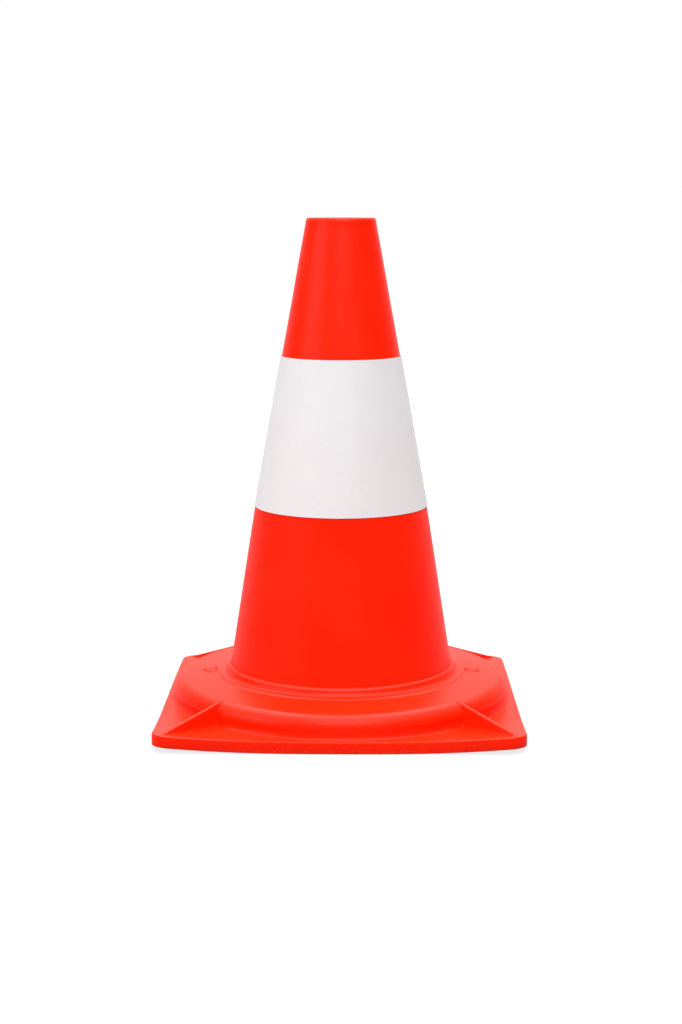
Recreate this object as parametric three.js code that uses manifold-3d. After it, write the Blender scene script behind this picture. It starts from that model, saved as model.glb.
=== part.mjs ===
// A 300 mm road cone on a square base: millimetres, +Z up, origin on the floor under the cone's axis.
// Three pieces: the moulded base, the hollow cone that comes up through its collar and is bonded by a
// flange under the hub, and the white sleeve that slips over the cone and stops where their tapers meet.
import * as THREE from "three";
import { mergeVertices } from "three/addons/utils/BufferGeometryUtils.js";
import Module from "manifold-3d";

const wasm = await Module();
wasm.setup();

// Overall size
const HEIGHT = 300;
const BASE_SIDE = 215;
const TURN_STEPS = 72;

// Cone: two straight tapers that meet at the sleeve's lower edge
const BEND_HEIGHT = 126.5;
const BEND_RADIUS = 52.5;
const UPPER_TAPER = 0.18;
const LOWER_TAPER = 0.158;
const CONE_WALL = 2.8;
const RIM_ROUND = 0.8;
const FLANGE_RADIUS = 81;
const FLANGE_THICKNESS = 2.6;

// Sleeve
const SLEEVE_TOP = 217.7;
const SLEEVE_WALL = 0.45;
const SLEEVE_GAP = 0.12;
const SLEEVE_REST = 0.01;

// Base: a round hub on a square plate whose two front corners curl up
const FIT_GAP = 0.3;
const COLLAR_TOP = 28.6;
const COLLAR_LIP = 1.5;
const COLLAR_LAND = 24;
const COLLAR_RADIUS = 75;
const COLLAR_STEP_FOOT = 2.5;
const HUB_TOP = 23;
const HUB_SHOULDER_RADIUS = 95.5;
const HUB_SHOULDER_TOP = 20.9;
const SHOULDER_WIDTH = 7.9;
const SHOULDER_DROP = 9.8;
const SHOULDER_END = THREE.MathUtils.degToRad(12);
const HUB_WALL = 3;
const HUB_FOOT_RADIUS = 103.8;
const HUB_FOOT_FILLET = 1.2;
const REST_RING_INNER = 100.8;
const PLATE_THICKNESS = 7;
const PLATE_EDGE = 1;
const CORNER_RADIUS = 10.5;
const BACK_CORNER_THINNING = 2;
const FRONT_CORNER_LIFT = 3.3;
const LIFT_POWER = 1.8;
const BASE_STEPS = 80;
const CORNER_CROWDING = 0.6;

// Ribs on the plate's diagonals, and the two low lugs on top of the hub
const RIB_THICKNESS = 2;
const RIB_TOP_RADIUS = 97.5;
const RIB_TOP = 21.3;
const RIB_OUTER_RADIUS = 141;
const RIB_END = 8.1;
const RIB_ROOT = [
  [-0.5, 19.2],
  [2.3, 17],
  [4.2, 13],
  [4.8, 3.5],
];
const LUG_PLACE = 81;
const LUG_RADIUS = 4.7;
const LUG_HEIGHT = 1.1;
const LUG_DRAFT = 0.3;
const LUG_STEPS = 24;

const HALF_SIDE = BASE_SIDE / 2;
const HUB_CEILING = HUB_TOP - HUB_WALL;
const HUB_CIRCLE = HUB_FOOT_RADIUS + HUB_FOOT_FILLET;

const point = (r, z) => new THREE.Vector2(r, z);

function coneRadius(z) {
  const taper = z > BEND_HEIGHT ? UPPER_TAPER : LOWER_TAPER;
  return BEND_RADIUS - taper * (z - BEND_HEIGHT);
}

// A closed profile turned about Z. The profile runs anticlockwise, with the axis on its left.
function turned(profile, steps) {
  const loop = [...profile, profile[0].clone()];
  return new THREE.LatheGeometry(loop, steps).rotateX(Math.PI / 2);
}

// An elliptic quarter or part of one, from one angle to another.
function arc(centre, width, height, from, to, steps) {
  return Array.from({ length: steps + 1 }, (_, i) => {
    const angle = from + ((to - from) * i) / steps;
    return point(centre.x + width * Math.cos(angle), centre.y + height * Math.sin(angle));
  });
}

function bentLine(start, control, end, steps) {
  return new THREE.QuadraticBezierCurve(start, control, end).getPoints(steps);
}

// Solids for joins: a closed geometry in, a manifold out, and back.
function solid(geometry) {
  const bare = geometry.clone().deleteAttribute("normal").deleteAttribute("uv");
  const merged = mergeVertices(bare, 1e-3);
  const vertProperties = merged.attributes.position.array;
  const triVerts = new Uint32Array(merged.index.array);
  return new wasm.Manifold(new wasm.Mesh({ numProp: 3, vertProperties, triVerts }));
}

function geometryOf(manifold) {
  const mesh = manifold.getMesh();
  const geometry = new THREE.BufferGeometry();
  geometry.setAttribute("position", new THREE.BufferAttribute(mesh.vertProperties, 3));
  geometry.setIndex(new THREE.BufferAttribute(mesh.triVerts, 1));
  geometry.computeVertexNormals();
  return geometry;
}

// The hollow cone: a flange under the hub's ceiling, two tapers, and an open top with a rounded rim.
function coneShell() {
  const flangeTop = HUB_CEILING - FIT_GAP;
  const flangeBottom = flangeTop - FLANGE_THICKNESS;
  const rim = coneRadius(HEIGHT);
  const outerRound = point(rim - RIM_ROUND, HEIGHT - RIM_ROUND);
  const innerRound = point(rim - CONE_WALL + RIM_ROUND / 2, HEIGHT - RIM_ROUND / 2);
  const profile = [
    point(coneRadius(flangeBottom) - CONE_WALL, flangeBottom),
    point(FLANGE_RADIUS, flangeBottom),
    point(FLANGE_RADIUS, flangeTop),
    point(coneRadius(flangeTop), flangeTop),
    point(BEND_RADIUS, BEND_HEIGHT),
    ...arc(outerRound, RIM_ROUND, RIM_ROUND, 0, Math.PI / 2, 3),
    ...arc(innerRound, RIM_ROUND / 2, RIM_ROUND / 2, Math.PI / 2, Math.PI, 2),
    point(BEND_RADIUS - CONE_WALL, BEND_HEIGHT),
  ];
  return turned(profile, TURN_STEPS);
}

// The sleeve: a thin collar with the cone's own taper, a hair wider than the cone.
function sleeve() {
  const inner = (z) => coneRadius(z) + SLEEVE_GAP;
  const bottom = BEND_HEIGHT + SLEEVE_REST;
  const profile = [
    point(inner(bottom), bottom),
    point(inner(bottom) + SLEEVE_WALL, bottom),
    point(inner(SLEEVE_TOP) + SLEEVE_WALL, SLEEVE_TOP),
    point(inner(SLEEVE_TOP), SLEEVE_TOP),
  ];
  return turned(profile, TURN_STEPS);
}

// Distance from the axis to the plate's edge in a direction: a square with rounded corners.
function edgeRadius(angle) {
  const along = Math.abs(Math.cos(angle));
  const across = Math.abs(Math.sin(angle));
  const [near, far] = along > across ? [along, across] : [across, along];
  const straight = HALF_SIDE / near;
  const centre = HALF_SIDE - CORNER_RADIUS;
  if (straight * far <= centre) return straight;
  const toward = centre * (near + far);
  return toward + Math.sqrt(toward * toward - 2 * centre * centre + CORNER_RADIUS * CORNER_RADIUS);
}

// How close a place on the plate is to a corner's tip, counted only towards the front or the back.
function towardCorners(radius, angle, side) {
  const share = Math.max(0, radius - HUB_CIRCLE) / (edgeRadius(Math.PI / 4) - HUB_CIRCLE);
  return Math.max(0, side * Math.sin(angle)) * Math.SQRT2 * share ** LIFT_POWER;
}

// The soft plate has curled up towards its two front corners, at -Y.
function lift(radius, angle) {
  return FRONT_CORNER_LIFT * towardCorners(radius, angle, -1);
}

// A height on the plate, which is thinner towards its two back corners.
function thinned(height, radius, angle) {
  return height * (1 - (BACK_CORNER_THINNING / PLATE_THICKNESS) * towardCorners(radius, angle, 1));
}

// The hub's top falls a little from the collar's step to the shoulder.
function hubTop(radius) {
  const stepFoot = COLLAR_RADIUS + COLLAR_STEP_FOOT;
  const share = (radius - stepFoot) / (HUB_SHOULDER_RADIUS - stepFoot);
  return THREE.MathUtils.lerp(HUB_TOP, HUB_SHOULDER_TOP, share);
}

// The base's profile as if the plate were round, anticlockwise from the plate's lower side. Past the hub
// circle it is stretched to the square.
function baseProfile() {
  const bore = (z) => coneRadius(z) + FIT_GAP;
  const shoulder = point(HUB_SHOULDER_RADIUS, HUB_SHOULDER_TOP - SHOULDER_DROP);
  const edge = HALF_SIDE - PLATE_EDGE;
  const plateStep = (edge - HUB_CIRCLE) / 3;
  const plate = [0, 1, 2].map((i) => HUB_CIRCLE + plateStep * i);
  return [
    ...plate.map((r) => point(r, 0)),
    ...arc(point(edge, PLATE_EDGE), PLATE_EDGE, PLATE_EDGE, -Math.PI / 2, 0, 2),
    ...arc(point(edge, PLATE_THICKNESS - PLATE_EDGE), PLATE_EDGE, PLATE_EDGE, 0, Math.PI / 2, 2),
    ...plate.toReversed().map((r) => point(r, PLATE_THICKNESS)),
    point(HUB_FOOT_RADIUS, PLATE_THICKNESS + HUB_FOOT_FILLET),
    ...arc(shoulder, SHOULDER_WIDTH, SHOULDER_DROP, SHOULDER_END, Math.PI / 2, 5),
    point(COLLAR_RADIUS + COLLAR_STEP_FOOT, HUB_TOP),
    ...bentLine(
      point(COLLAR_RADIUS, COLLAR_LAND),
      point(bore(COLLAR_LAND) + COLLAR_LIP, COLLAR_LAND),
      point(bore(COLLAR_TOP) + COLLAR_LIP, COLLAR_TOP),
      4,
    ),
    point(bore(COLLAR_TOP), COLLAR_TOP),
    point(bore(HUB_CEILING), HUB_CEILING),
    point(FLANGE_RADIUS + HUB_WALL / 2, HUB_CEILING),
    ...arc(
      shoulder,
      SHOULDER_WIDTH - HUB_WALL,
      SHOULDER_DROP - HUB_WALL,
      Math.PI / 2,
      SHOULDER_END,
      4,
    ),
    point(REST_RING_INNER, 0),
  ];
}

// The base without its ribs: the profile turned, then its plate drawn out to the square and curled.
function baseBody() {
  const geometry = turned(baseProfile(), BASE_STEPS);
  const places = geometry.attributes.position;
  const edge = HALF_SIDE - PLATE_EDGE;
  for (let i = 0; i < places.count; i++) {
    const even = Math.atan2(places.getY(i), places.getX(i));
    const angle = even + (CORNER_CROWDING / 4) * Math.sin(4 * even);
    let radius = Math.hypot(places.getX(i), places.getY(i));
    if (radius > edge) {
      radius = edgeRadius(angle) - HALF_SIDE + radius;
    } else if (radius > HUB_CIRCLE) {
      const share = (radius - HUB_CIRCLE) / (edge - HUB_CIRCLE);
      radius = THREE.MathUtils.lerp(HUB_CIRCLE, edgeRadius(angle) - PLATE_EDGE, share);
    }
    const height = thinned(places.getZ(i), radius, angle) + lift(radius, angle);
    places.setXYZ(i, radius * Math.cos(angle), radius * Math.sin(angle), height);
  }
  return geometry;
}

// One thin rib along a diagonal: its top edge leaves the hub's shoulder and falls to the corner, and its
// end follows the plate. Its root is buried in the hub's wall and its lower edge in the plate.
function rib(angle) {
  const curl = lift(RIB_OUTER_RADIUS, angle);
  const end = thinned(RIB_END, RIB_OUTER_RADIUS, angle) + curl;
  const outline = new THREE.Shape(RIB_ROOT.map(([outward, z]) => point(RIB_TOP_RADIUS + outward, z)));
  outline.lineTo(RIB_OUTER_RADIUS, PLATE_THICKNESS / 2 + curl);
  outline.lineTo(RIB_OUTER_RADIUS, end);
  outline.lineTo(RIB_TOP_RADIUS, RIB_TOP);
  return new THREE.ExtrudeGeometry(outline, { depth: RIB_THICKNESS, bevelEnabled: false })
    .translate(0, 0, -RIB_THICKNESS / 2)
    .rotateX(Math.PI / 2)
    .rotateZ(angle);
}

// A low round lug on the hub's top, standing as deep in the hub as it stands proud of it.
function lug(side) {
  return new THREE.CylinderGeometry(LUG_RADIUS - LUG_DRAFT, LUG_RADIUS, 2 * LUG_HEIGHT, LUG_STEPS)
    .rotateX(Math.PI / 2)
    .translate(side * LUG_PLACE, 0, hubTop(LUG_PLACE));
}

function squareBase() {
  let joined = solid(baseBody());
  for (const corner of [1, 3, 5, 7]) {
    joined = joined.add(solid(rib((corner * Math.PI) / 4)));
  }
  for (const side of [-1, 1]) joined = joined.add(solid(lug(side)));
  return geometryOf(joined);
}

const redPlastic = new THREE.MeshStandardMaterial({ color: 0xff2a08, roughness: 0.32 });
const whiteSheet = new THREE.MeshStandardMaterial({ color: 0xf2eef0, roughness: 0.45 });

function piece(name, geometry, material) {
  const mesh = new THREE.Mesh(geometry, material);
  mesh.name = name;
  return mesh;
}

const group = new THREE.Group();
group.add(piece("square_base", squareBase(), redPlastic));
group.add(piece("cone_shell", coneShell(), redPlastic.clone()));
group.add(piece("reflective_sleeve", sleeve(), whiteSheet));

export default group;
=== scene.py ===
# %% [markdown]
# A small road cone, built to be looked at closely
#
# The real object is three soft plastic things: a square base with a round hub, a hollow cone that
# comes up through the base, and a white sheet wrapped round the cone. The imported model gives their
# places and sizes. This lesson makes the fine surface of each piece, its finish, and a plain studio.
# Everything is in metres, with Z up and the cone's axis on the Z axis.

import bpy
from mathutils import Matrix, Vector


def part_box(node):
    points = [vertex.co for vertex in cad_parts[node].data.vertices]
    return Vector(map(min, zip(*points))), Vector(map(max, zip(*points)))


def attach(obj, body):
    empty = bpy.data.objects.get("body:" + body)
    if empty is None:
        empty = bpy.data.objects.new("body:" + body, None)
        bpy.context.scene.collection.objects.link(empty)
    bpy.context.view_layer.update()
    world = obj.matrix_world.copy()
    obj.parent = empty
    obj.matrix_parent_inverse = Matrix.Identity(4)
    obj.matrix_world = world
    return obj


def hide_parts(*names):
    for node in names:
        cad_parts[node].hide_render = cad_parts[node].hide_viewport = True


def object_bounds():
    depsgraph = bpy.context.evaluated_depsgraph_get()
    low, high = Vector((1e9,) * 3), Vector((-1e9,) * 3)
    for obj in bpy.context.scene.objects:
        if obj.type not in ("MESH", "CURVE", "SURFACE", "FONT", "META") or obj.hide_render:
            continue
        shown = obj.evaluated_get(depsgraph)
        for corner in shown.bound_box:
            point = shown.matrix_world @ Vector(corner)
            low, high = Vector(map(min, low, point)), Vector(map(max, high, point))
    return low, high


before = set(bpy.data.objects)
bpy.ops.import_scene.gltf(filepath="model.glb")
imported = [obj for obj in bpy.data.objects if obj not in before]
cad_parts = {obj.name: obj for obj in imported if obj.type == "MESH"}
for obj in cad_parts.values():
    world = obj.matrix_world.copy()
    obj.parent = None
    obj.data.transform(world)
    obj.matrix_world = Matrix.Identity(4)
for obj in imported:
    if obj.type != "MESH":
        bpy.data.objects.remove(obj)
cad_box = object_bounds()

# %% [markdown]
# Sizes first. What the frame knows is read from it: the height, the base's side and the sleeve's two
# edges. The other values are the mould maker's choices, such as wall thicknesses and fillets, and each
# has a name here, so that a change is made in one place.

# %% Driving sizes
import math

import bmesh
import bpy
import numpy as np
from mathutils import Matrix, Vector, noise

MM = 0.001
HEIGHT = cad_box[1].z
HALF_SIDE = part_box("square_base")[1].x
SLEEVE_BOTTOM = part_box("reflective_sleeve")[0].z
SLEEVE_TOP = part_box("reflective_sleeve")[1].z
COLLAR_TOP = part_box("square_base")[1].z
FLANGE_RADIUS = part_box("cone_shell")[1].x
FLANGE_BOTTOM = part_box("cone_shell")[0].z

BEND_HEIGHT = 126.5 * MM
BEND_RADIUS = 52.5 * MM
UPPER_TAPER = 0.18
LOWER_TAPER = 0.158
CONE_WALL = 2.8 * MM

HUB_TOP = 23 * MM
HUB_WALL = 3 * MM
HUB_CEILING = HUB_TOP - HUB_WALL
PLATE_THICKNESS = 7 * MM
MERGE_DISTANCE = 1e-7


def cone_radius(z):
    """The cone's outer radius at a height: two straight tapers that meet at the sleeve's lower edge."""
    taper = UPPER_TAPER if z > BEND_HEIGHT else LOWER_TAPER
    return BEND_RADIUS - taper * (z - BEND_HEIGHT)


print(f"height {HEIGHT / MM:.0f} mm, base {2 * HALF_SIDE / MM:.0f} mm square")

# %% [markdown]
# All three pieces start as turned shapes. A profile is a short list of radius and height pairs, with
# its round stretches worked out as arcs. Spin then sweeps the profile round the axis, and merges the
# last step into the first. A spun shape may come out inside out, so its normals are recalculated.
# A line gives its first point but not its last, so that stretches can follow each other. Where the
# stretch before has given that first point already, it is left out.

# %% Turning a profile
def arc(centre, width, height, start, end, steps):
    """Part of an ellipse from one angle to another, in degrees, as radius and height pairs."""
    angles = np.radians(np.linspace(start, end, steps + 1))
    return [(centre[0] + width * math.cos(a), centre[1] + height * math.sin(a)) for a in angles]


def line(start, end, steps):
    """Evenly spaced points from start up to, but not with, end."""
    return [tuple(np.array(start) + (np.array(end) - start) * i / steps) for i in range(steps)]


def bent(start, control, end, steps):
    """A curve that leaves start towards control and comes to end from it."""
    p, q, r = (np.array(v) for v in (start, control, end))
    shares = np.linspace(0, 1, steps + 1)
    return [tuple((1 - t) ** 2 * p + 2 * t * (1 - t) * q + t * t * r) for t in shares]


def spun(profile, steps):
    """A bmesh of a closed profile turned about Z."""
    bm = bmesh.new()
    verts = [bm.verts.new((r, 0, z)) for r, z in profile]
    edges = [bm.edges.new(pair) for pair in zip(verts, verts[1:] + verts[:1])]
    bmesh.ops.spin(bm, geom=verts + edges, cent=(0, 0, 0), axis=(0, 0, 1), dvec=(0, 0, 0),
                   angle=2 * math.pi, steps=steps, use_merge=True, use_duplicate=False)
    bmesh.ops.remove_doubles(bm, verts=bm.verts, dist=MERGE_DISTANCE)
    bmesh.ops.recalc_face_normals(bm, faces=bm.faces)
    return bm


def finished(bm, name, sharp=40):
    """The bmesh as an object at the origin, smooth but for edges sharper than the given angle."""
    mesh = bpy.data.meshes.new(name)
    for face in bm.faces:
        face.smooth = True
    for edge in bm.edges:
        edge.smooth = not edge.is_manifold or edge.calc_face_angle(0) < math.radians(sharp)
    bm.to_mesh(mesh)
    bm.free()
    piece = bpy.data.objects.new(name, mesh)
    bpy.context.scene.collection.objects.link(piece)
    print(name, len(mesh.polygons), "faces")
    return piece


# %% [markdown]
# Soft plastic is never dead straight. It shrinks a little unevenly as it cools, so wide surfaces have
# shallow waves, a few hundredths of a millimetre high. They can't be seen as shape, but they bend the
# reflections, and that is what makes a surface look moulded. Solid noise gives each point its push.

# %% Shrink waves
WAVE_LENGTH = 38 * MM
WAVE_HEIGHT = 0.07 * MM


def waved(bm, where):
    """Push each point along its normal by a smooth, shallow wave, where the given share isn't 0."""
    bm.normal_update()
    pushes = [(v, WAVE_HEIGHT * where(v.co) * noise.noise(v.co / WAVE_LENGTH)) for v in bm.verts]
    for vert, push in pushes:
        vert.co += vert.normal * push


# %% [markdown]
# The cone is a hollow shell. Its foot has a flange, bonded under the hub. Its open top has a rounded
# rim, softer outside than inside. Its profile runs up the outside and down the inside, and many short
# steps in height give the shrink waves something to move.

# %% The cone
CONE_STEPS = 224
RIM_ROUND_OUTSIDE = 1.6 * MM
RIM_ROUND_DOWN = 3.2 * MM
RIM_ROUND_INSIDE = 0.5 * MM
RIM_INNER_CHAMFER = 1 * MM
FLANGE_GAP = 0.1 * MM
FLANGE_TOP = HUB_CEILING - FLANGE_GAP
FLANGE_ROUND = 0.8 * MM


def cone_profile():
    rim = cone_radius(HEIGHT)
    outer = (rim - RIM_ROUND_OUTSIDE, HEIGHT - RIM_ROUND_DOWN)
    inner = (rim - CONE_WALL + RIM_ROUND_INSIDE, HEIGHT - RIM_ROUND_INSIDE)
    flange = (FLANGE_RADIUS - FLANGE_ROUND, FLANGE_BOTTOM + FLANGE_ROUND)
    foot = (cone_radius(FLANGE_TOP), FLANGE_TOP)
    bend = (BEND_RADIUS, BEND_HEIGHT)
    inner_bend = (BEND_RADIUS - CONE_WALL, BEND_HEIGHT)
    inner_foot = (cone_radius(FLANGE_BOTTOM) - CONE_WALL, FLANGE_BOTTOM)
    return [
        *arc(flange, FLANGE_ROUND, FLANGE_ROUND, -90, 0, 4),
        *line((FLANGE_RADIUS, FLANGE_TOP), foot, 3),
        *line(foot, bend, 30),
        *line(bend, (outer[0] + RIM_ROUND_OUTSIDE, outer[1]), 48),
        *arc(outer, RIM_ROUND_OUTSIDE, RIM_ROUND_DOWN, 0, 90, 12),
        *arc(inner, RIM_ROUND_INSIDE, RIM_ROUND_INSIDE, 90, 180, 5),
        *line((inner[0] - RIM_ROUND_INSIDE, inner[1] - RIM_INNER_CHAMFER), inner_bend, 24),
        *line(inner_bend, inner_foot, 16),
        *line(inner_foot, (flange[0], FLANGE_BOTTOM), 3),
    ]


cone_mesh = spun(cone_profile(), CONE_STEPS)
waved(cone_mesh, lambda co: co.z > HUB_TOP)
cone = finished(cone_mesh, "moulded_cone")

# %% [markdown]
# The white sleeve is a sheet of reflective film on a thin backing, wrapped once round the cone and
# glued where its ends overlap. That seam is at the back. So the sleeve isn't a plain ring: one column of
# points is turned a little more than a full turn, the last stretch is moved out to lie on the first,
# and the sheet then gets its thickness.

# %% The sleeve
SHEET_THICKNESS = 0.32 * MM
SHEET_CLEARANCE = 0.1 * MM
OVERLAP = 11 * MM
OVERLAP_RAMP = 3 * MM
OVERLAP_RISE = 1.25 * SHEET_THICKNESS
SLEEVE_STEPS = 300
SLEEVE_ROWS = 24
SEAM = math.radians(90)


def smooth_step(value):
    share = min(max(value, 0.0), 1.0)
    return share * share * (3 - 2 * share)


def sheet_radius(z):
    return BEND_RADIUS - UPPER_TAPER * (z - BEND_HEIGHT) + SHEET_CLEARANCE


def risen(run):
    """How much of the way out onto the first turn the sheet is, at an angle past the full turn."""
    return smooth_step((run * BEND_RADIUS + OVERLAP_RAMP) / OVERLAP_RAMP)


def wrapped_sheet():
    heights = np.linspace(SLEEVE_BOTTOM, SLEEVE_TOP, SLEEVE_ROWS + 1)
    column = [(sheet_radius(z), z) for z in heights]
    turn = 2 * math.pi + OVERLAP / BEND_RADIUS
    bm = bmesh.new()
    verts = [bm.verts.new((r * math.cos(SEAM), r * math.sin(SEAM), z)) for r, z in column]
    edges = [bm.edges.new(pair) for pair in zip(verts, verts[1:])]
    step = Matrix.Rotation(turn / SLEEVE_STEPS, 3, "Z")
    for i in range(1, SLEEVE_STEPS + 1):
        made = bmesh.ops.extrude_edge_only(bm, edges=edges)["geom"]
        verts = [g for g in made if isinstance(g, bmesh.types.BMVert)]
        edges = [g for g in made if isinstance(g, bmesh.types.BMEdge)]
        bmesh.ops.rotate(bm, verts=verts, cent=(0, 0, 0), matrix=step)
        run = turn * i / SLEEVE_STEPS - 2 * math.pi
        more = risen(run) - risen(run - turn / SLEEVE_STEPS)
        for vert in verts:
            out = Vector((vert.co.x, vert.co.y, 0)).normalized()
            vert.co += out * OVERLAP_RISE * more
    bmesh.ops.recalc_face_normals(bm, faces=bm.faces)
    if sum(f.normal.dot(Vector((*f.calc_center_median().xy, 0))) for f in bm.faces) < 0:
        bmesh.ops.reverse_faces(bm, faces=bm.faces)
    bmesh.ops.solidify(bm, geom=bm.faces, thickness=-SHEET_THICKNESS)
    return bm


sleeve = finished(wrapped_sheet(), "wrapped_sleeve")

# %% [markdown]
# The base is the hard piece. It is one moulding: a turned hub and collar that runs into a square plate,
# four thin ribs and two low lugs. The plate's two front corners curl up, and its two back corners are a
# little thinner. It could be joined from separate solids, but then every join would be a hard crease,
# where a moulding has a fillet. So it starts as a turned profile, with many columns where the ribs and
# lugs will be, and its points are then moved: past the hub out to the square's outline, up or down at
# the corners, and up to the ribs' and lugs' tops.

# %% Base: sizes
COLLAR_LAND = 24 * MM
COLLAR_RADIUS = 75 * MM
COLLAR_STEP_FOOT = 77.5 * MM
COLLAR_LIP = 2.6 * MM
COLLAR_GAP = 0.06 * MM
LIP_DROP = 1.3 * MM
LIP_CURVE = 1.3 * MM
LIP_FLAT = 0.5 * MM
LIP_CHAMFER = 0.2 * MM
LIP_FOOT_RISE = 0.2 * MM
LAND_RISE = 0.1 * MM
LAND_EDGE = 1.4 * MM
STEP_EDGE = 0.2 * MM
STEP_UPPER_CURVE = 0.6 * MM
STEP_MIDDLE = 1.2 * MM
STEP_LOWER_CURVE = 1.8 * MM
HUB_SHOULDER_RADIUS = 95.5 * MM
HUB_SHOULDER_TOP = 20.9 * MM
SHOULDER_WIDTH = 7.9 * MM
SHOULDER_DROP = 9.8 * MM
SHOULDER_END = 12
SHOULDER_ROUND_END = 85
HUB_FOOT_RADIUS = 103.6 * MM
HUB_FOOT_FILLET = 1.4 * MM
HUB_FOOT_FILLET_TOP = 3.6 * MM
HUB_FOOT_DRAFT = 0.5 * MM
HUB_CIRCLE = HUB_FOOT_RADIUS + HUB_FOOT_FILLET
REST_RING_INNER = 100.8 * MM
PLATE_EDGE = 0.6 * MM
PLATE_EDGE_END = 0.01 * MM
CORNER_RADIUS = 10.5 * MM
FRONT_CORNER_LIFT = 3.3 * MM
BACK_CORNER_THINNING = 2 * MM
LIFT_POWER = 1.8
LUG_PLACE = 81.2 * MM
LUG_RADIUS = 4.7 * MM
LUG_HEIGHT = 1.0 * MM
LUG_ROUND = 0.5 * MM

# %% [markdown]
# The profile is written as if the plate were round. It runs anticlockwise from the resting ring: out
# along the underside, round the plate's edge, back over the plate, up the hub's wall and shoulder, over
# the collar, and down inside.

# %% Base: profile
def base_profile():
    bore = lambda z: cone_radius(z) + COLLAR_GAP
    shoulder = (HUB_SHOULDER_RADIUS, HUB_SHOULDER_TOP - SHOULDER_DROP)
    shoulder_start = arc(shoulder, SHOULDER_WIDTH, SHOULDER_DROP, SHOULDER_ROUND_END, 90, 1)[0]
    edge = HALF_SIDE - PLATE_EDGE
    wall_top = arc(shoulder, SHOULDER_WIDTH, SHOULDER_DROP, SHOULDER_END, 90, 1)[0]
    fillet_top = (HUB_FOOT_RADIUS - HUB_FOOT_DRAFT, PLATE_THICKNESS + HUB_FOOT_FILLET_TOP)
    step_foot = (COLLAR_STEP_FOOT, HUB_TOP)
    step_middle = (COLLAR_RADIUS + STEP_MIDDLE, (HUB_TOP + COLLAR_LAND) / 2)
    step_top = (COLLAR_RADIUS - STEP_EDGE, COLLAR_LAND)
    land_end = (COLLAR_RADIUS - LAND_EDGE, COLLAR_LAND + LAND_RISE)
    lip_foot = (bore(COLLAR_LAND) + COLLAR_LIP, COLLAR_LAND + LIP_FOOT_RISE)
    lip_side = (bore(COLLAR_TOP) + COLLAR_LIP, COLLAR_TOP - LIP_DROP)
    lip_top = (bore(COLLAR_TOP) + LIP_FLAT, COLLAR_TOP)
    bore_foot = (bore(HUB_CEILING), HUB_CEILING)
    return [
        *line((REST_RING_INNER, 0), (HUB_CIRCLE, 0), 3),
        *line((HUB_CIRCLE, 0), (edge, 0), 12),
        *arc((edge, PLATE_EDGE), PLATE_EDGE, PLATE_EDGE, -90, 0, 4),
        *arc((edge, PLATE_THICKNESS - PLATE_EDGE), PLATE_EDGE, PLATE_EDGE, 0, 90, 5),
        *line((edge - PLATE_EDGE_END, PLATE_THICKNESS), (HUB_CIRCLE, PLATE_THICKNESS), 26),
        *bent((HUB_CIRCLE, PLATE_THICKNESS), (HUB_FOOT_RADIUS, PLATE_THICKNESS), fillet_top, 7),
        *line(fillet_top, wall_top, 6)[1:],
        *arc(shoulder, SHOULDER_WIDTH, SHOULDER_DROP, SHOULDER_END, SHOULDER_ROUND_END, 18),
        *line(shoulder_start, step_foot, 26)[1:],
        *bent(step_foot, (COLLAR_RADIUS + STEP_LOWER_CURVE, HUB_TOP + LAND_RISE), step_middle, 4),
        *bent(step_middle, (COLLAR_RADIUS + STEP_UPPER_CURVE, COLLAR_LAND), step_top, 4)[1:],
        *bent(land_end, lip_foot, lip_side, 14),
        *bent(lip_side, (bore(COLLAR_TOP) + LIP_CURVE, COLLAR_TOP), lip_top, 6)[1:],
        *line((bore(COLLAR_TOP), COLLAR_TOP - LIP_CHAMFER), bore_foot, 4),
        *line(bore_foot, (FLANGE_RADIUS + HUB_WALL / 2, HUB_CEILING), 4),
        *arc(shoulder, SHOULDER_WIDTH - HUB_WALL, SHOULDER_DROP - HUB_WALL, 90, SHOULDER_END, 12),
    ]


print("base profile has", len(base_profile()), "points")

# %% [markdown]
# A spin makes evenly spaced columns, but a rib is under 3 mm thick. So the columns are spread again: a
# density says how crowded they are in each direction, and its running sum gives each column its angle.
# Near a diagonal the columns also run parallel to the rib instead of fanning out, so that the rib's two
# sides are straight.

# %% Base: columns
BASE_COLUMNS = 480
DIAGONALS = np.radians([45, 135, 225, 315])
RIB_START = 97.5 * MM
RIB_CROWDING, RIB_SPREAD = 22, math.radians(1.1)
CORNER_CROWDING, CORNER_SPREAD = 3, math.radians(4)
LUG_CROWDING, LUG_SPREAD = 6, math.radians(3.6)
FINE_ANGLES = 7200
PARALLEL_WITHIN = 2.5
PARALLEL_FADE = 5.5


def away_from(angle, directions):
    """The signed angle from the nearest of the directions."""
    turns = (angle - np.array(directions) + math.pi) % (2 * math.pi) - math.pi
    return turns[np.argmin(np.abs(turns))]


def crowding(angle):
    """How much closer the columns are in a direction than where they are widest apart."""
    to_rib = away_from(angle, DIAGONALS)
    to_lug = away_from(angle, [0, math.pi])
    at_rib = RIB_CROWDING * math.exp(-((to_rib / RIB_SPREAD) ** 2))
    at_corner = CORNER_CROWDING * math.exp(-((to_rib / CORNER_SPREAD) ** 2))
    at_lug = LUG_CROWDING * math.exp(-((to_lug / LUG_SPREAD) ** 2))
    return 1 + at_rib + at_corner + at_lug


def column_angles():
    fine = np.linspace(0, 2 * math.pi, FINE_ANGLES + 1)
    density = np.array([crowding(a) for a in fine])
    total = np.concatenate([[0], np.cumsum((density[1:] + density[:-1]) / 2)])
    return np.interp(np.linspace(0, total[-1], BASE_COLUMNS + 1), total, fine)


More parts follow.
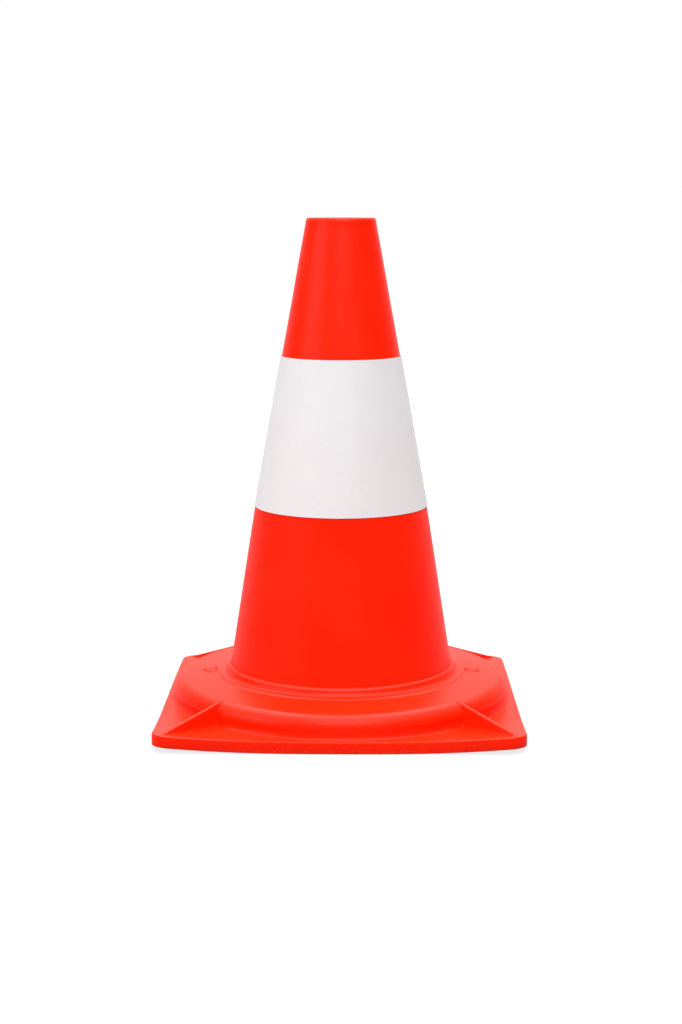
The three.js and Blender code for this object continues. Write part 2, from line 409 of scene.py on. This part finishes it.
def beside_rib(angle, radius):
    """Turn a column that is close to a diagonal so that it runs parallel to the rib."""
    offset = away_from(angle, DIAGONALS)
    held = 1 - smooth_step((abs(math.degrees(offset)) - PARALLEL_WITHIN) / PARALLEL_FADE)
    shrink = 1 - min(1, RIB_START / radius)
    return angle - offset * shrink * held


angles = column_angles()
print("columns every", round(math.degrees(np.diff(angles).min()), 3), "to",
      round(math.degrees(np.diff(angles).max()), 2), "degrees")

# %% [markdown]
# The square's outline, seen from above, is a point and an outward direction for each angle. The plate's
# points are spread between the hub's circle and this outline, and the points of its rounded edge keep
# their true distance from it. Towards their tips, slowly at first and then faster, the two front
# corners curl up and the two back ones get thinner.

# %% Base: square plate and its corners
def outline(angle):
    """The point on the rounded square in a direction from the axis, and its outward normal."""
    ray = Vector((math.cos(angle), math.sin(angle)))
    signs = Vector((math.copysign(1, ray.x), math.copysign(1, ray.y)))
    across, along = abs(ray.x), abs(ray.y)
    centre = HALF_SIDE - CORNER_RADIUS
    reach = HALF_SIDE / max(across, along)
    if reach * min(across, along) <= centre:
        normal = Vector((signs.x, 0)) if across > along else Vector((0, signs.y))
        return ray * reach, normal
    toward = centre * (across + along)
    reach = toward + math.sqrt(toward**2 - 2 * centre**2 + CORNER_RADIUS**2)
    middle = signs * centre
    return ray * reach, (ray * reach - middle).normalized()


CORNER_REACH = outline(math.pi / 4)[0].length


def toward_corners(place, side):
    """How close a place is to a corner's tip, counted only towards the front, -1, or the back, 1."""
    share = max(0.0, place.length - HUB_CIRCLE) / (CORNER_REACH - HUB_CIRCLE)
    return max(0.0, side * place.y / place.length) * math.sqrt(2) * share**LIFT_POWER


def lift(place):
    """How far the soft plate has curled up at a place: only towards its two front corners."""
    return FRONT_CORNER_LIFT * toward_corners(place, -1)


def thinned(height, place):
    """A height on the plate, which is thinner towards its two back corners."""
    return height * (1 - BACK_CORNER_THINNING / PLATE_THICKNESS * toward_corners(place, 1))


def on_plate(radius, angle):
    """Where a point of the round profile goes on the square plate, seen from above."""
    edge = HALF_SIDE - PLATE_EDGE
    share = min(1, max(0, (radius - HUB_CIRCLE) / (edge - HUB_CIRCLE)))
    rough_reach = HUB_CIRCLE + share * (outline(angle)[0].length - HUB_CIRCLE)
    angle = beside_rib(angle, max(radius, rough_reach))
    if radius <= HUB_CIRCLE:
        return Vector((radius * math.cos(angle), radius * math.sin(angle)))
    border, normal = outline(angle)
    if radius > edge:
        return border + normal * (radius - HALF_SIDE)
    inset = border - normal * PLATE_EDGE
    start = Vector((math.cos(angle), math.sin(angle))) * HUB_CIRCLE
    return start.lerp(inset, share)


# %% [markdown]
# A rib is a height above the plate. Along the diagonal its crest falls straight from the hub's shoulder
# towards the corner. Across it, the crest is flat with rounded edges, the sides fall with a few degrees
# of draft so that the moulding leaves its mould, and a fillet meets the plate. A lug is a flat disc with
# a round edge.

# %% Base: ribs and lugs
RIB_TOP = 21.3 * MM
RIB_END = 141 * MM
RIB_END_TOP = 8.1 * MM
RIB_HALF = 1.3 * MM
RIB_ROUND = 0.85 * MM
RIB_FILLET = 1.3 * MM
RIB_STEEPNESS = 16
RIB_REACH = 4 * RIB_HALF
RIB_NOSE = 1.2 * MM
LUG_EDGE = 1.3 * LUG_ROUND


def rib_crest(place, along):
    """The crest's height, from its round nose on the shoulder to its end, which follows the plate."""
    end = place * (RIB_END / place.length)
    end_top = thinned(RIB_END_TOP, end) + lift(end)
    share = (along - RIB_START) / (RIB_END - RIB_START)
    nose = round_drop(RIB_START + RIB_NOSE - along, RIB_NOSE)
    return RIB_TOP + (end_top - RIB_TOP) * share - nose - max(0.0, RIB_START - along)


def round_drop(distance, radius):
    """How far a round of the given radius has dropped at a distance past its start."""
    inside = min(max(distance, 0.0), radius)
    return radius - math.sqrt(radius**2 - inside**2)


def with_rib(place, surface):
    """The height of the base at a place, with the nearest rib standing on the surface there."""
    offset = away_from(math.atan2(place.y, place.x), DIAGONALS)
    along = place.length * math.cos(offset)
    across = abs(place.length * math.sin(offset))
    crest = rib_crest(place, along)
    stand = crest - surface
    if stand <= 0 or across > RIB_REACH or along > CORNER_REACH:
        return surface
    past = across - (RIB_HALF - RIB_ROUND)
    wall = RIB_STEEPNESS * max(0.0, past - RIB_ROUND)
    side = crest - round_drop(past, RIB_ROUND) - wall
    fillet = min(RIB_FILLET, stand / 2)
    foot = RIB_HALF + stand / RIB_STEEPNESS
    hollow = surface + round_drop(foot + fillet - across, fillet)
    return max(side, hollow)


def with_lug(place, surface):
    """The height of the base at a place, with a low round lug on each side of the hub."""
    distance = (Vector((abs(place.x), place.y)) - Vector((LUG_PLACE, 0))).length
    past = distance - (LUG_RADIUS - LUG_ROUND)
    top = LUG_HEIGHT - LUG_HEIGHT * smooth_step(past / LUG_EDGE)
    return surface + max(0.0, top)


# %% [markdown]
# Now the points move. The underside has no ribs or lugs, so each point's height in the profile says
# which side it is on: the upper side is at or above the plate's top, and above the middle of the hub's
# wall.

# %% Base: move the points
PLATE_TOP_SLACK = 0.01 * MM
WAVES_FROM = 4 * MM
WAVES_FADE = 3 * MM


def top_side(radius):
    """A height between the hub's outer and inner skins at a radius."""
    past = max(0.0, radius - HUB_SHOULDER_RADIUS) / (SHOULDER_WIDTH - HUB_WALL / 2)
    middle = SHOULDER_DROP - HUB_WALL / 2
    if past >= 1:
        return 0.0
    round_part = HUB_SHOULDER_TOP - SHOULDER_DROP + middle * math.sqrt(1 - past**2)
    return round_part if past > 0 else HUB_SHOULDER_TOP - HUB_WALL / 2


def shape_base(bm):
    column = 2 * math.pi / BASE_COLUMNS
    for vert in bm.verts:
        radius = math.hypot(vert.co.x, vert.co.y)
        height = vert.co.z
        turn = math.atan2(vert.co.y, vert.co.x) % (2 * math.pi)
        place = on_plate(radius, angles[round(turn / column) % BASE_COLUMNS])
        surface = thinned(height, place) + lift(place)
        upper = height >= PLATE_THICKNESS - PLATE_TOP_SLACK and height > top_side(radius)
        if upper and radius > RIB_START - RIB_NOSE:
            surface = with_rib(place, surface)
        if upper and COLLAR_STEP_FOOT <= radius < HUB_SHOULDER_RADIUS:
            surface = with_lug(place, surface)
        vert.co = (*place, surface)
    bmesh.ops.recalc_face_normals(bm, faces=bm.faces)


base_mesh = spun(base_profile(), BASE_COLUMNS)
shape_base(base_mesh)
waved(base_mesh, lambda co: smooth_step((co.z - WAVES_FROM) / WAVES_FADE))
base = finished(base_mesh, "moulded_base", sharp=60)

# %% [markdown]
# Finishes are built from nodes. Wiring nodes by hand hides the sum they do, so one small class wraps a
# node's output: Python's own signs then add Math nodes, and one method adds any other node. A value that
# is the same all over is set straight on the shader.

# %% Writing shader sums as expressions
class Wire:
    """One output in a node tree."""

    def __init__(self, tree, socket=None):
        self.tree, self.socket = tree, socket

    def node(self, kind, settings=None, inputs=None, output=0):
        """Add any node: its settings first, then its inputs, each a Wire or a plain value."""
        made = self.tree.nodes.new("ShaderNode" + kind)
        for name, value in (settings or {}).items():
            setattr(made, name, value)
        for name, value in (inputs or {}).items():
            if isinstance(value, Wire):
                self.tree.links.new(value.socket, made.inputs[name])
            else:
                made.inputs[name].default_value = value
        return Wire(self.tree, made.outputs[output])

    def math(self, operation, *values):
        return self.node("Math", {"operation": operation}, dict(enumerate(values)))

    def __add__(self, other):
        return self.math("ADD", self, other)

    def __sub__(self, other):
        return self.math("SUBTRACT", self, other)

    def __rsub__(self, other):
        return self.math("SUBTRACT", other, self)

    def __mul__(self, other):
        return self.math("MULTIPLY", self, other)

    def __pow__(self, other):
        return self.math("POWER", self, other)

    __radd__, __rmul__ = __add__, __mul__


def new_material(name):
    """A material with an empty tree, and a wire to start from."""
    material = bpy.data.materials.new(name)
    material.use_nodes = True
    material.node_tree.nodes.clear()
    return material, Wire(material.node_tree)


def surface_of(start, shader):
    output = start.tree.nodes.new("ShaderNodeOutputMaterial")
    start.tree.links.new(shader.socket, output.inputs["Surface"])


def clamped(value, low, high):
    """How far a value is between two limits, from 0 to 1."""
    return value.node("MapRange", {"clamp": True}, {"Value": value, "From Min": low, "From Max": high})


# %% [markdown]
# The red-orange plastic is soft PVC: a strong, even pigment under a smooth skin. The skin reflects
# little when seen straight on and a lot at a glancing angle, and a low IOR gives exactly that. Up close it
# has a fine orange peel, slightly duller patches where it left the mould, faint lines along the draw on
# the cone, and dust and rub marks low down on the base, where it slides over the floor.

# %% Moulded plastic
PIGMENT = (0.92, 0.013, 0.0004, 1)
DEEP_PIGMENT = (0.87, 0.0105, 0.0003, 1)
DUST = (0.95, 0.11, 0.055, 1)
PLASTIC_IOR = 1.2
PATCH_SCALE = 22
PEEL_SCALE = 1100
DRAW_LINE_SCALE = 420
DRAW_LINE_STRETCH = (1, 1, 0.03)
GRIT_SCALE = 700


def noise_of(start, vector, scale, detail):
    inputs = {"Vector": vector, "Scale": scale, "Detail": detail, "Roughness": 0.5}
    return start.node("TexNoise", {"noise_dimensions": "3D"}, inputs)


def mixed(factor, first, second):
    """A colour mix. On the Mix node, sockets 6 and 7 are the two colours and output 2 is the result."""
    settings = {"data_type": "RGBA", "blend_type": "MIX"}
    return factor.node("Mix", settings, {0: factor, 6: first, 7: second}, 2)


def moulded_plastic(name, draw_lines, rubbed_below):
    material, start = new_material(name)
    place = start.node("TexCoord", output=3)
    patches = noise_of(start, place, PATCH_SCALE, 3)
    peel = noise_of(start, place, PEEL_SCALE, 1)
    stretched = start.node("Mapping", inputs={"Vector": place, "Scale": DRAW_LINE_STRETCH})
    lines = noise_of(start, stretched, DRAW_LINE_SCALE, 2)
    grit = noise_of(start, place, GRIT_SCALE, 4)
    height = start.node("SeparateXYZ", inputs={"Vector": place}, output=2)
    low = 1 - clamped(height, 0.0, rubbed_below)
    rub = clamped(grit * low, 0.36, 0.6)

    colour = mixed(clamped(patches, 0.3, 0.7), DEEP_PIGMENT, PIGMENT)
    colour = mixed(rub * 0.25, colour, DUST)
    roughness = 0.27 + 0.1 * clamped(patches, 0.25, 0.75) + 0.05 * lines * draw_lines + 0.3 * rub

    relief = peel * 0.7 + lines * (draw_lines * 1.2) + grit * rub
    bump = start.node("Bump", inputs={"Height": relief, "Strength": 0.25, "Distance": 0.03 * MM})
    shader = start.node("BsdfPrincipled", inputs={
        "Base Color": colour, "Roughness": roughness, "Normal": bump, "IOR": PLASTIC_IOR})
    surface_of(start, shader)
    return material


base_plastic = moulded_plastic("red_plastic_base", 0.0, 9 * MM)
cone_plastic = moulded_plastic("red_plastic_cone", 1.0, 1 * MM)

# %% [markdown]
# The sleeve's film is full of tiny glass beads under a clear skin. In plain light it is a soft, slightly
# cool white. The beads make a fine sparkle, and the backing shows through a little as a faint mottle.

# %% Reflective sheet
SHEET_WHITE = (0.61, 0.584, 0.594, 1)
SHEET_SHADE = (0.597, 0.571, 0.583, 1)
BEAD_GAPS = (0.52, 0.5, 0.509, 1)
BEAD_SCALE = 1500.0
MOTTLE_SCALE = 60
SHEET_IOR = 1.4


def reflective_sheet():
    material, start = new_material("white_reflective_sheet")
    place = start.node("TexCoord", output=3)
    beads = start.node("TexVoronoi", {"feature": "F1"}, {"Vector": place, "Scale": BEAD_SCALE})
    mottle = noise_of(start, place, MOTTLE_SCALE, 3)
    colour = mixed(clamped(mottle, 0.35, 0.65), SHEET_SHADE, SHEET_WHITE)
    colour = mixed(clamped(beads, 0.35, 0.75) * 0.18, colour, BEAD_GAPS)
    roughness = 0.42 + 0.14 * clamped(beads, 0.1, 0.7) + 0.08 * mottle
    relief = 1 - beads
    bump = start.node("Bump", inputs={"Height": relief, "Strength": 0.2, "Distance": 0.02 * MM})
    shader = start.node("BsdfPrincipled", inputs={
        "Base Color": colour, "Roughness": roughness, "Normal": bump, "IOR": SHEET_IOR})
    surface_of(start, shader)
    return material


sheet_finish = reflective_sheet()

# %% [markdown]
# Each piece now gets its finish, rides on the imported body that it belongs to, and stands for the plain
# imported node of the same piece.

# %% Dress the pieces
def dress(piece, material, body, node):
    piece.data.materials.append(material)
    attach(piece, body)
    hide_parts(node)
    print(piece.name, "rides on", body, "for", node)


dress(base, base_plastic, "cone", "square_base")
dress(cone, cone_plastic, "cone", "cone_shell")
dress(sleeve, sheet_finish, "sleeve", "reflective_sleeve")

# %% [markdown]
# The studio is a pale floor under a dome of soft light. The dome is brightest a little behind the
# highest point, and straight behind the cone it is bright near the floor, as a lit white wall would be.
# It has no edges, so it gives the long soft highlights of a light tent. In front and at the sides its
# low part is dark, which keeps the colour deep. Seen directly, it is plain white.
# The floor is a light table: it glows a little, so the shadow under the curled corners stays soft. It
# glows less for the cone than for the camera, so that the low walls keep their deep red.

# %% Floor and light
FLOOR_RADIUS = 6.0
FLOOR_COLOUR = (0.1, 0.1, 0.1, 1)
FLOOR_GLOW = 0.2
FLOOR_SEEN = 0.8
OVERHEAD = 5.0
OVERHEAD_SPREAD = 3.2
CEILING_LAMP = 8.0
CEILING_LAMP_SPREAD = 12
CEILING_LAMP_DIRECTION = (0, 0.37, 0.93)
WALL_LIGHT = 0.75
LOW_LIGHT = 0.05
BACKDROP = 1.0


def pale_floor():
    bm = bmesh.new()
    bmesh.ops.create_circle(bm, cap_ends=True, segments=96, radius=FLOOR_RADIUS)
    floor = finished(bm, "studio_floor")
    material, start = new_material("pale_floor")
    seen = start.node("LightPath")
    shader = start.node("BsdfPrincipled", inputs={
        "Base Color": FLOOR_COLOUR, "Roughness": 0.9, "Specular IOR Level": 0.0,
        "Emission Color": FLOOR_GLOW + (FLOOR_SEEN - FLOOR_GLOW) * seen, "Emission Strength": 1.0})
    surface_of(start, shader)
    floor.data.materials.append(material)


def dome():
    world = bpy.data.worlds.new("light_tent")
    world.use_nodes = True
    world.node_tree.nodes.clear()
    start = Wire(world.node_tree)
    direction = start.node("TexCoord")
    up = clamped(start.node("SeparateXYZ", inputs={"Vector": direction}, output=2), 0.0, 1.0)
    back = start.node("SeparateXYZ", inputs={"Vector": direction}, output=1)
    lamp_side = start.node("VectorMath", {"operation": "DOT_PRODUCT"},
                           {0: direction, 1: CEILING_LAMP_DIRECTION}, output=1)
    overhead = OVERHEAD * up**OVERHEAD_SPREAD
    lamp = CEILING_LAMP * clamped(lamp_side, 0.0, 1.0) ** CEILING_LAMP_SPREAD
    low = LOW_LIGHT + WALL_LIGHT * clamped(back, 0.3, 0.95) * (1 - clamped(up, 0.3, 0.5))
    seen = start.node("LightPath")
    strength = (overhead + lamp + low) * (1 - seen) + BACKDROP * seen
    light = start.node("Background", inputs={"Color": (1, 1, 1, 1), "Strength": strength})
    output = world.node_tree.nodes.new("ShaderNodeOutputWorld")
    world.node_tree.links.new(light.socket, output.inputs["Surface"])
    bpy.context.scene.world = world


# %% [markdown]
# Two dim soft boxes stand in front. The one on the left adds an upright streak to the upper cone, and
# the one over the camera adds a small patch under the rim. The lower cone is seen more from above, so it
# mirrors lower places and shows less of them.

# %% Soft boxes
def soft_box(name, size, place, radiance):
    data = bpy.data.lights.new(name, "AREA")
    data.shape = "RECTANGLE"
    data.size, data.size_y = size
    data.energy = radiance * math.pi * size[0] * size[1]
    lamp = bpy.data.objects.new(name, data)
    lamp.location = place
    toward_cone = Vector((0, 0, BEND_HEIGHT)) - Vector(place)
    lamp.rotation_euler = toward_cone.to_track_quat("-Z", "Y").to_euler()
    bpy.context.scene.collection.objects.link(lamp)


soft_box("left_soft_box", (1.1, 0.6), (-1.34, -0.67, 0.77), 3.6)
soft_box("upper_soft_box", (1.0, 0.6), (0.12, -1.0, 1.05), 5.0)
pale_floor()
dome()
bpy.context.scene.view_settings.view_transform = "Standard"

# %% [markdown]
# The camera stands a little over a metre away, just above the height of the cone's top, and looks
# slightly down with a short telephoto lens.

# %% Camera
CAMERA_DISTANCE = 1.1295
CAMERA_HEIGHT = 0.3105
CAMERA_PITCH = math.radians(9.492)
CAMERA_SIDE = math.radians(0.63)
LENS = 65.63

camera_data = bpy.data.cameras.new("camera")
camera_data.lens = LENS
camera_data.sensor_width = 36
camera = bpy.data.objects.new("camera", camera_data)
camera.location = (CAMERA_DISTANCE * math.sin(CAMERA_SIDE), -CAMERA_DISTANCE * math.cos(CAMERA_SIDE),
                   CAMERA_HEIGHT)
camera.rotation_euler = (math.pi / 2 - CAMERA_PITCH, 0, CAMERA_SIDE)
bpy.context.scene.collection.objects.link(camera)
bpy.context.scene.camera = camera
print("camera at", tuple(round(c, 3) for c in camera.location))
